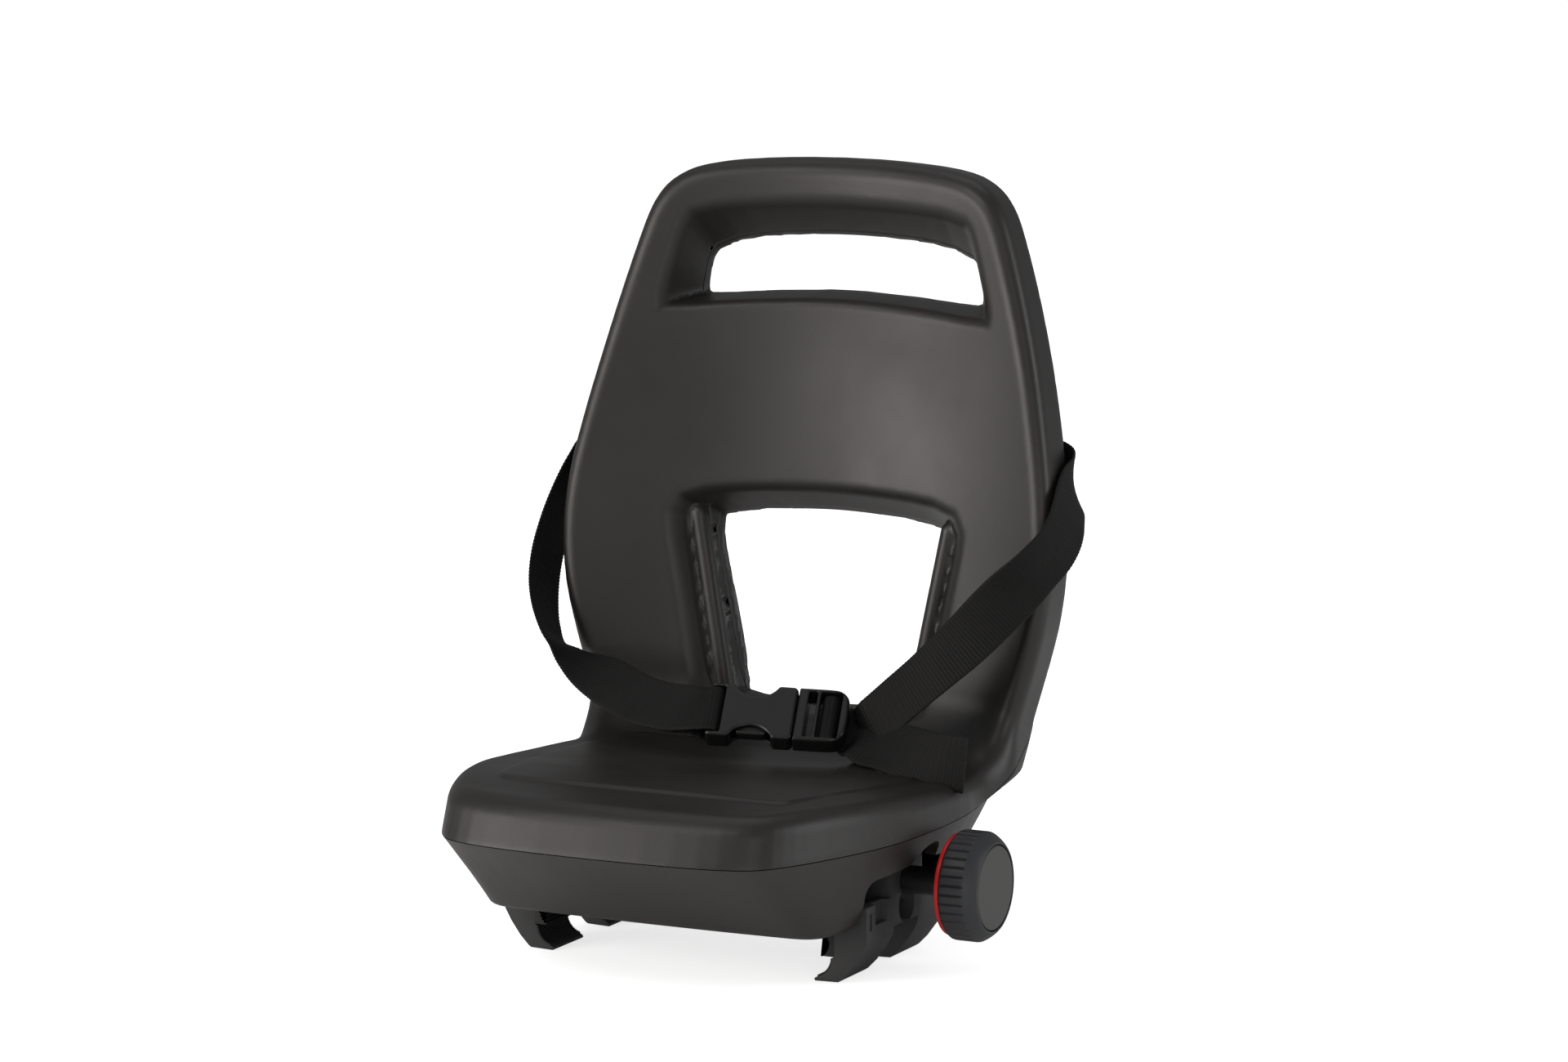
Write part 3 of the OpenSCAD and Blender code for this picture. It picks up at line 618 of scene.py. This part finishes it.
belt_left = webbing("belt_left", LEFT)
belt_right = webbing("belt_right", RIGHT)
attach(belt_left, "seat")
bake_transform(belt_right)
for ob, node in ((belt_left, "strap_left"), (belt_right, "strap_right")):
    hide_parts(node)
    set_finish(ob, "webbing")
note("belt")


# ---------------------------------------------------------------- buckle, in its own frame: x along the belt, w across, n out of its face
def slab(x, w, n, x0, x1, half, n0, n1, r, edge):
    """A block with rounded corners seen from its face (r) and rounded edges all round (edge)."""
    plan = rmax(np.abs(x - (x0 + x1) / 2) - (x1 - x0) / 2, np.abs(w) - half, r)
    return rmax(plan, np.abs(n - (n0 + n1) / 2) - (n1 - n0) / 2, edge)


def bar(x, w, n, x0, x1, n0, n1, r, half=16.6):
    return rmax(rmax(np.abs(x - (x0 + x1) / 2) - (x1 - x0) / 2, np.abs(n - (n0 + n1) / 2) - (n1 - n0) / 2, r), np.abs(w) - half, 0.1)


def socket_half(x, w, n):
    d = slab(x, w, n, -47.5, -0.5, 18, -5.5, 5.5, 3.0, 1.5)
    scoop = 13.0 - np.hypot(x + 23.0, np.abs(w) - 23.0)
    d = rmax(d, scoop, 1.1)
    room = slab(x, w, n, -34.5, 8, 15.2, -3.5, 3.5, 1.0, 0.4)
    d = rmax(d, -room, 0.5)
    gap = slab(x, w, n, -60, -39.6, 15.8, -20, 20, 0.6, 0.5)
    d = rmax(d, -gap, 0.6)
    return rmin(d, bar(x, w, n, -47.3, -43.6, -3.2, 3.5, 1.5), 0.4)


def prong_half(x, w, n):
    end = 28.3 - w * w / 190.0
    plan = rmax(rmax(x - end, np.abs(w) - 18 + np.maximum(x - 14, 0) ** 2 / 170.0, 6.5), -x, 0.9)
    d = rmax(plan, np.abs(n) - 5.5, 1.7)
    d = rmax(d, -slab(x, w, n, 5.4, 10.2, 15.6, -20, 20, 0.7, 0.5), 0.55)
    d = rmax(d, -slab(x, w, n, 12.1, 23.9, 15.6, -20, 20, 0.7, 0.5), 0.55)
    d = rmax(d, -slab(x, w, n, 20, 60, 15.6, -20, -3.0, 0.5, 0.4), 0.5)
    d = rmin(d, bar(x, w, n, 15.6, 19.6, -3.0, 1.7, 1.2, 16.2), 0.4)
    aw = np.abs(w)
    d = rmin(d, slab(x, w, n, -22, 1, 2.6, -2.6, 2.6, 1.6, 0.9), 0.5)
    arm = rmax(rmax(np.abs(x + 13) - 14, np.abs(aw - 9.6) - 1.4, 0.6), np.abs(n) - 2.8, 0.8)
    head = np.sqrt((np.maximum(np.abs(x + 23.5) - 6.0, 0)) ** 2 + (aw - 10.6) ** 2) - 3.7
    head = rmax(head, np.abs(n) - 3.0, 1.4)
    return rmin(d, rmin(arm, head, 0.8), 0.4)


def moulded_piece(name, field, lo, hi, h):
    v, q, _ = contour([field], lo, hi, h, relax=1)
    ex, ew, en = turned(1, 0, 0), bw(0) / 15.0, turned(0, -math.cos(LEAN), math.sin(LEAN))
    return quads_object(name, BUCKLE + v[:, :1] * ex + v[:, 1:2] * ew + v[:, 2:] * en, q)


BH = 0.5
for name, field, lo, hi, body, node in (
        ("buckle_socket_half", socket_half, (-49, -19.5, -7), (1.5, 19.5, 7), "seat", "buckle_female"),
        ("buckle_prong_half", prong_half, (-31, -19.5, -7), (30, 19.5, 7), "tongue", "buckle_male")):
    ob = moulded_piece(name, field, lo, hi, BH)
    sharp_by_angle(ob, 55)
    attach(ob, body)
    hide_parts(node)
    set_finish(ob, "buckle_plastic")
note("buckle")


# ---------------------------------------------------------------- knob, ring and cap, turned about the spindle
AXIS_Z = 17.3


def lathe(name, profile, angles, depth=None, cut=None):
    """Turned about the spindle: profile of (x, radius), closed on the axis at both ends. The grooves cut in by depth(angle) * cut(x)."""
    p = np.array(profile, float)
    th = np.asarray(angles)
    m = len(th)
    verts, quads = [], []
    for x, rad in p:
        rr = rad - (0 if depth is None else depth * cut(x))
        verts += [(x, rr_ * math.sin(t), AXIS_Z + rr_ * math.cos(t)) for t, rr_ in zip(th, np.broadcast_to(rr, m))]
    for i in range(len(p) - 1):
        for k in range(m):
            k2 = (k + 1) % m
            quads.append((i * m + k, (i + 1) * m + k, (i + 1) * m + k2, i * m + k2))
    first = len(verts)
    verts += [(p[0, 0], 0, AXIS_Z), (p[-1, 0], 0, AXIS_Z)]
    last = (len(p) - 1) * m
    for k in range(m):
        k2 = (k + 1) % m
        quads.append((first, k, k2))
        quads.append((first + 1, last + k2, last + k))
    ob = new_object(name, verts, quads)
    bm = bmesh.new()
    bm.from_mesh(ob.data)
    bmesh.ops.recalc_face_normals(bm, faces=bm.faces)
    bm.to_mesh(ob.data)
    bm.free()
    sharp_by_angle(ob, 38)
    return ob


def rounded(points, radii, n=5):
    """The profile with each inner corner replaced by an arc-like curve of about the radius given."""
    p = np.array(points, float)
    out = [tuple(p[0])]
    for i in range(1, len(p) - 1):
        r_ = radii[i]
        if not r_:
            out.append(tuple(p[i]))
            continue
        a = p[i] + (p[i - 1] - p[i]) * min(0.49, r_ / np.linalg.norm(p[i - 1] - p[i]))
        b = p[i] + (p[i + 1] - p[i]) * min(0.49, r_ / np.linalg.norm(p[i + 1] - p[i]))
        for t in np.linspace(0, 1, n):
            out.append(tuple(a * (1 - t) ** 2 + p[i] * 2 * t * (1 - t) + b * t * t))
    out.append(tuple(p[-1]))
    return out


FLUTES = 36
marks, depths = [], []
for i in range(FLUTES):
    for off, dep in ((-2.52, 0), (-1.6, 0), (-0.95, 0.02), (-0.62, 0.32), (-0.3, 0.86), (0, 1.1), (0.3, 0.86), (0.62, 0.32), (0.95, 0.02), (1.6, 0)):
        marks.append(2 * math.pi * i / FLUTES + off / 29.0)
        depths.append(dep)
knob_profile = rounded([(137.4, 9), (137.4, 27.2), (138.6, 28.9), (140, 29), (141, 29), (143, 29), (146, 29), (149, 29), (150.4, 29), (151.6, 28.95),
                        (154.0, 27.6), (156.6, 25.6), (158.1, 23.9), (158.1, 22.85), (155.8, 22.85), (155.8, 9)],
                       [0, 1.0, 0.8, 0, 0, 0, 0, 0, 0, 0.8, 1.6, 1.6, 0.5, 0.25, 0, 0])
flute = smooth_table([(130, 0.6), (138.2, 0.6), (139.5, 1), (150.2, 1), (151.6, 0.4), (152.6, 0), (160, 0)], 0.1)
knob_ob = lathe("knob_body", knob_profile, marks, np.array(depths), lambda x: float(flute(x)))
cap_ob = lathe("knob_disc", rounded([(155.85, 9), (155.85, 22.2), (158.0, 22.2), (158.15, 21.0), (158.25, 8)], [0, 0.3, 0.6, 0.5, 0]),
               np.linspace(0, 2 * math.pi, 144, endpoint=False))
ring_ob = lathe("ring_body", rounded([(133.75, 9), (133.75, 21.5), (134.7, 21.5), (134.9, 26.9), (137.25, 26.9), (137.25, 9)], [0, 0.3, 0.2, 0.5, 0.5, 0]),
                np.linspace(0, 2 * math.pi, 144, endpoint=False))
for ob, node, slot in ((knob_ob, "knob", "knob_plastic"), (cap_ob, "knob_cap", "cap_plastic"), (ring_ob, "indicator_ring", "ring_plastic")):
    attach(ob, "screw")
    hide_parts(node)
    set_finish(ob, slot)


# ---------------------------------------------------------------- toothed grip pads
def prism(name, outlines, y0s, length):
    """Each outline in x and z, drawn out along y."""
    verts, faces = [], []
    for pts in outlines:
        for y0 in y0s:
            k, n = len(verts), len(pts)
            verts += [(x, y0, z) for x, z in pts] + [(x, y0 + length, z) for x, z in pts]
            faces += [tuple(k + i for i in range(n)), tuple(k + n + i for i in reversed(range(n)))]
            faces += [(k + i, k + n + i, k + n + (i + 1) % n, k + (i + 1) % n) for i in range(n)]
    ob = new_object(name, verts, faces, smooth=False)
    bm = bmesh.new()
    bm.from_mesh(ob.data)
    bmesh.ops.recalc_face_normals(bm, faces=bm.faces)
    bmesh.ops.triangulate(bm, faces=[f for f in bm.faces if len(f.verts) > 4])
    bm.to_mesh(ob.data)
    bm.free()
    return ob


for side, word in ((1, "right"), (-1, "left")):
    pts = [(80.95, -2.05), (88.45, -2.05), (88.45, -16.55), (80.95, -16.55)]
    teeth = []
    for k in range(9):
        a0 = math.radians(-58 + k * 116 / 9)
        for f, rad in ((0.0, 8.9), (0.28, 8.05), (0.62, 8.05), (0.86, 8.9)):
            a = a0 + math.radians(f * 116 / 9)
            teeth.append((77 + rad * math.cos(a), -9.3 + rad * math.sin(a)))
    # the lining goes on down the hook's inside to its tip
    lining = [(76.5 + 11.1 * math.cos(a), -17 + 11.1 * math.sin(a)) for a in np.radians(np.linspace(-3, -76, 12))]
    for k in range(11, -1, -1):
        for f, rad in ((0.0, 10.5), (0.35, 10.05), (0.7, 10.05)):
            a = math.radians(-3 - 73 * max(0, k - f) / 11)
            lining.append((76.5 + rad * math.cos(a), -17 + rad * math.sin(a)))
    shapes = [[(side * x, z) for x, z in pts + teeth], [(side * x, z) for x, z in lining]]
    ob = prism(f"toothed_pads_{word}", shapes, (-48.75, 14.25), 33.1)
    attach(ob, "jaw_r" if side > 0 else "jaw_l")
    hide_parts(f"grip_pads_{word}")
    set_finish(ob, "grip_rubber")


# ---------------------------------------------------------------- jaws: the same shape with its moulded edges softened
def softened(node, name, width, body, slot):
    src = frame["nodes"][node]
    me = src.data.copy()
    me.name = name
    ob = bpy.data.objects.new(name, me)
    bpy.context.scene.collection.objects.link(ob)
    ob.matrix_world = src.matrix_world.copy()
    bm = bmesh.new()
    bm.from_mesh(me)
    bmesh.ops.remove_doubles(bm, verts=bm.verts, dist=1e-6)
    bmesh.ops.dissolve_limit(bm, angle_limit=math.radians(1.0), verts=bm.verts, edges=bm.edges)
    edges = [e for e in bm.edges if len(e.link_faces) == 2 and e.calc_face_angle(0.0) > math.radians(25)]
    bmesh.ops.bevel(bm, geom=edges, offset=width * MM, offset_type="OFFSET", segments=2, profile=0.5, affect="EDGES",
                    clamp_overlap=True, miter_outer="ARC", miter_inner="SHARP")
    bmesh.ops.triangulate(bm, faces=bm.faces)
    bm.to_mesh(me)
    bm.free()
    me.polygons.foreach_set("use_smooth", np.ones(len(me.polygons), bool))
    sharp_by_angle(ob, 28)
    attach(ob, body)
    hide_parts(node)
    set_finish(ob, slot)
    return ob


softened("jaw_right", "jaw_body_right", 0.55, "jaw_r", "jaw_plastic")
softened("jaw_left", "jaw_body_left", 0.55, "jaw_l", "jaw_plastic")
note("clamp")


# ---------------------------------------------------------------- materials
class Nodes:
    def __init__(self, name, color, rough, spec=0.5):
        self.mat = bpy.data.materials.new(name)
        self.mat.use_nodes = True
        self.t = self.mat.node_tree
        self.b = self.t.nodes["Principled BSDF"]
        self.b.inputs["Base Color"].default_value = (*color, 1)
        self.b.inputs["Roughness"].default_value = rough
        self.b.inputs["Specular IOR Level"].default_value = spec
        self.coord = self.t.nodes.new("ShaderNodeTexCoord").outputs["Object"]

    def node(self, kind, **values):
        n = self.t.nodes.new(kind)
        for k, v in values.items():
            if k in n.inputs:
                n.inputs[k].default_value = v
            else:
                setattr(n, k, v)
        return n

    def link(self, a, b):
        self.t.links.new(a, b)

    def noise(self, scale, detail=3, rough=0.5, coord=None):
        n = self.node("ShaderNodeTexNoise", Scale=scale, Detail=detail, Roughness=rough)
        self.link(coord or self.coord, n.inputs["Vector"])
        return n.outputs["Fac"]

    def ramp(self, src, lo, hi, a, b):
        n = self.node("ShaderNodeMapRange")
        n.inputs["From Min"].default_value = lo
        n.inputs["From Max"].default_value = hi
        n.inputs["To Min"].default_value = a
        n.inputs["To Max"].default_value = b
        self.link(src, n.inputs["Value"])
        return n.outputs["Result"]

    def tint(self, src, c0, c1, lo=0.3, hi=0.7):
        n = self.node("ShaderNodeValToRGB")
        n.color_ramp.elements[0].position = lo
        n.color_ramp.elements[1].position = hi
        n.color_ramp.elements[0].color = (*c0, 1)
        n.color_ramp.elements[1].color = (*c1, 1)
        self.link(src, n.inputs["Fac"])
        self.link(n.outputs["Color"], self.b.inputs["Base Color"])

    def bump(self, src, strength, distance):
        n = self.node("ShaderNodeBump", Strength=strength, Distance=distance)
        self.link(src, n.inputs["Height"])
        self.link(self._normal, n.inputs["Normal"]) if getattr(self, "_normal", None) else None
        self._normal = n.outputs["Normal"]
        self.link(self._normal, self.b.inputs["Normal"])

    def rough(self, src, lo, hi, a, b):
        self.link(self.ramp(src, lo, hi, a, b), self.b.inputs["Roughness"])


def moulded(name, color, rough, grain=900.0, depth=0.00006, spread=0.12, wave=0.0):
    """Moulded plastic: an etched grain, slow changes of gloss and faint changes of tone."""
    m = Nodes(name, color, rough)
    slow = m.noise(14, 4, 0.55)
    fine = m.noise(grain, 2, 0.6)
    m.tint(slow, tuple(c * (1 - spread) for c in color), tuple(c * (1 + spread) for c in color))
    m.rough(slow, 0.3, 0.7, rough - 0.05, rough + 0.05)
    m.bump(fine, 0.5, depth)
    if wave:
        m.bump(m.noise(60, 3, 0.5), 0.5, wave)
    return m.mat


def assign(ob, mat):
    ob.data.materials.clear()
    ob.data.materials.append(mat)


def woven(name, color):
    """Polypropylene webbing: cords lengthwise, picks across them, a little sheen on the raised yarns."""
    m = Nodes(name, color, 0.66, 0.22)

    def attr(label):
        n = m.node("ShaderNodeAttribute")
        n.attribute_name = label
        return n.outputs["Fac"]

    def math_(op, a, b=None):
        n = m.node("ShaderNodeMath", operation=op)
        for i, v in enumerate((a, b)):
            if v is None:
                continue
            if isinstance(v, (int, float)):
                n.inputs[i].default_value = v
            else:
                m.link(v, n.inputs[i])
        return n.outputs[0]

    u = math_("MULTIPLY", attr("along"), 2 * math.pi / (RIB * MM))
    v = math_("MULTIPLY", attr("across"), 2 * math.pi / (2.5 * MM))
    pick = math_("SINE", u)
    cord = math_("SINE", v)
    half_u = math_("SINE", math_("ADD", math_("MULTIPLY", u, 0.5), math_("MULTIPLY", cord, 1.3)))
    yarn = math_("ADD", math_("MULTIPLY", math_("ABSOLUTE", cord), 0.6), math_("MULTIPLY", half_u, 0.4))
    m.bump(yarn, 0.55, 0.00016)
    fuzz = m.noise(2600, 2, 0.7)
    m.bump(fuzz, 0.35, 0.00006)
    slow = m.noise(45, 3, 0.6)
    mix = m.node("ShaderNodeMath", operation="MULTIPLY")
    m.link(m.ramp(pick, -1, 1, 0.55, 1.0), mix.inputs[0])
    m.link(m.ramp(slow, 0.3, 0.7, 0.8, 1.2), mix.inputs[1])
    m.tint(mix.outputs[0], tuple(c * 0.35 for c in color), tuple(c * 1.15 for c in color), 0.35, 1.15)
    m.b.inputs["Sheen Weight"].default_value = 0.05
    m.b.inputs["Sheen Roughness"].default_value = 0.45
    m.b.inputs["Sheen Tint"].default_value = (0.5, 0.5, 0.5, 1)
    return m.mat


def metal(name, color, rough, scale=700.0):
    m = Nodes(name, color, rough)
    m.b.inputs["Metallic"].default_value = 1.0
    slow = m.noise(90, 3, 0.6)
    m.tint(slow, tuple(c * 0.8 for c in color), color)
    m.rough(slow, 0.3, 0.7, rough - 0.06, rough + 0.08)
    m.bump(m.noise(scale, 2, 0.6), 0.25, 0.00003)
    return m.mat


MATS = {
    "shell_plastic": moulded("shell plastic", (0.0150, 0.0132, 0.0124), 0.43, 1100, 0.00007),
    "base_plastic": moulded("base plastic", (0.0175, 0.0158, 0.0150), 0.44, 1000, 0.00007),
    "jaw_plastic": moulded("jaw plastic", (0.0150, 0.0138, 0.0132), 0.42, 1200, 0.00005),
    "grip_rubber": moulded("grip rubber", (0.0040, 0.0040, 0.0040), 0.62, 1400, 0.00005),
    "brass_nut": metal("brass", (0.62, 0.45, 0.2), 0.32),
    "spindle_steel": metal("spindle steel", (0.5, 0.5, 0.51), 0.3),
    "zinc_steel": metal("zinc steel", (0.55, 0.55, 0.57), 0.35),
    "black_plastic": moulded("black plastic", (0.0040, 0.0040, 0.0042), 0.4, 1200, 0.00003),
    "ring_plastic": moulded("ring plastic", (0.60, 0.008, 0.008), 0.35, 900, 0.00002, 0.05),
    "knob_plastic": moulded("knob plastic", (0.022, 0.0235, 0.0265), 0.5, 1500, 0.00006),
    "cap_plastic": moulded("cap plastic", (0.046, 0.0455, 0.044), 0.46, 1500, 0.00004),
    "webbing": woven("belt webbing", (0.0050, 0.0047, 0.0044)),
    "buckle_plastic": moulded("buckle plastic", (0.0075, 0.0072, 0.0070), 0.33, 1500, 0.00002),
}
slot_of = {p["node"]: p["material_slot"] for p in frame["record"].get("subparts", [])}
for n, o in frame["nodes"].items():
    if not o.hide_render:
        assign(o, MATS[slot_of.get(n, "jaw_plastic")])
for o in list(bpy.context.scene.objects):
    if o.get("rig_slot") and not o.data.materials:
        assign(o, MATS[o["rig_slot"]])

# ---------------------------------------------------------------- stage and light
floor_mesh = bpy.data.meshes.new("floor")
floor_mesh.from_pydata([(-30, -30, -0.0302), (30, -30, -0.0302), (30, 30, -0.0302), (-30, 30, -0.0302)], [], [(0, 1, 2, 3)])
floor = bpy.data.objects.new("floor", floor_mesh)
bpy.context.scene.collection.objects.link(floor)
floor_mat = bpy.data.materials.new("floor")
floor_mat.use_nodes = True
floor_mat.node_tree.nodes["Principled BSDF"].inputs["Base Color"].default_value = (0.93, 0.93, 0.93, 1)
floor_mat.node_tree.nodes["Principled BSDF"].inputs["Roughness"].default_value = 0.8
floor_mat.node_tree.nodes["Principled BSDF"].inputs["Specular IOR Level"].default_value = 0.0
ft = floor_mat.node_tree
lift = ft.nodes.new("ShaderNodeEmission")
lift.inputs["Color"].default_value = (1, 1, 1, 1)
seen = ft.nodes.new("ShaderNodeLightPath")
share = ft.nodes.new("ShaderNodeMath")
share.operation = "MULTIPLY"
share.inputs[1].default_value = 0.72
both = ft.nodes.new("ShaderNodeAddShader")
ft.links.new(seen.outputs["Is Camera Ray"], share.inputs[0])
ft.links.new(share.outputs[0], lift.inputs["Strength"])
ft.links.new(ft.nodes["Principled BSDF"].outputs[0], both.inputs[0])
ft.links.new(lift.outputs[0], both.inputs[1])
ft.links.new(both.outputs[0], ft.nodes["Material Output"].inputs["Surface"])
floor_mesh.materials.append(floor_mat)

world = bpy.data.worlds.new("world")
bpy.context.scene.world = world
world.use_nodes = True
wt = world.node_tree
bg = wt.nodes["Background"]
bg.inputs["Color"].default_value = (1, 1, 1, 1)
bg.inputs["Strength"].default_value = 0.24
bright = wt.nodes.new("ShaderNodeBackground")
bright.inputs["Color"].default_value = (1, 1, 1, 1)
bright.inputs["Strength"].default_value = 1.15
path = wt.nodes.new("ShaderNodeLightPath")
mixer = wt.nodes.new("ShaderNodeMixShader")
soft = wt.nodes.new("ShaderNodeBackground")
soft.inputs["Color"].default_value = (1, 1, 1, 1)
soft.inputs["Strength"].default_value = 0.4
inner = wt.nodes.new("ShaderNodeMixShader")
wt.links.new(path.outputs["Is Diffuse Ray"], inner.inputs["Fac"])
wt.links.new(bg.outputs["Background"], inner.inputs[1])
wt.links.new(soft.outputs["Background"], inner.inputs[2])
wt.links.new(path.outputs["Is Camera Ray"], mixer.inputs["Fac"])
wt.links.new(inner.outputs["Shader"], mixer.inputs[1])
wt.links.new(bright.outputs["Background"], mixer.inputs[2])
wt.links.new(mixer.outputs["Shader"], wt.nodes["World Output"].inputs["Surface"])
bpy.context.scene.view_settings.view_transform = "Standard"


def area(name, pos, target, size, size_y, power, color=(1, 1, 1)):
    d = bpy.data.lights.new(name, "AREA")
    d.color = color
    d.shape = "RECTANGLE"
    d.size, d.size_y, d.energy = size, size_y, power
    o = bpy.data.objects.new(name, d)
    bpy.context.scene.collection.objects.link(o)
    o.location = pos
    o.rotation_euler = (Vector(target) - Vector(pos)).to_track_quat("-Z", "Y").to_euler()
    return o


area("key", (-1.75, -2.05, 0.62), (0, 0, 0.2), 1.5, 1.2, 34, (1.0, 0.955, 0.935))
area("high", (-0.9, -1.9, 2.3), (0, 0, 0.1), 1.2, 0.9, 16, (1.0, 0.96, 0.94))
area("fill", (1.7, -2.3, 0.6), (0, 0, 0.15), 1.2, 1.2, 9, (1.0, 0.97, 0.95))
area("right_box", (2.0, 0.5, 0.7), (0, 0, 0.2), 0.5, 1.4, 10)
area("top", (-0.3, 0.6, 2.4), (0, 0, 0.1), 1.6, 1.0, 4)
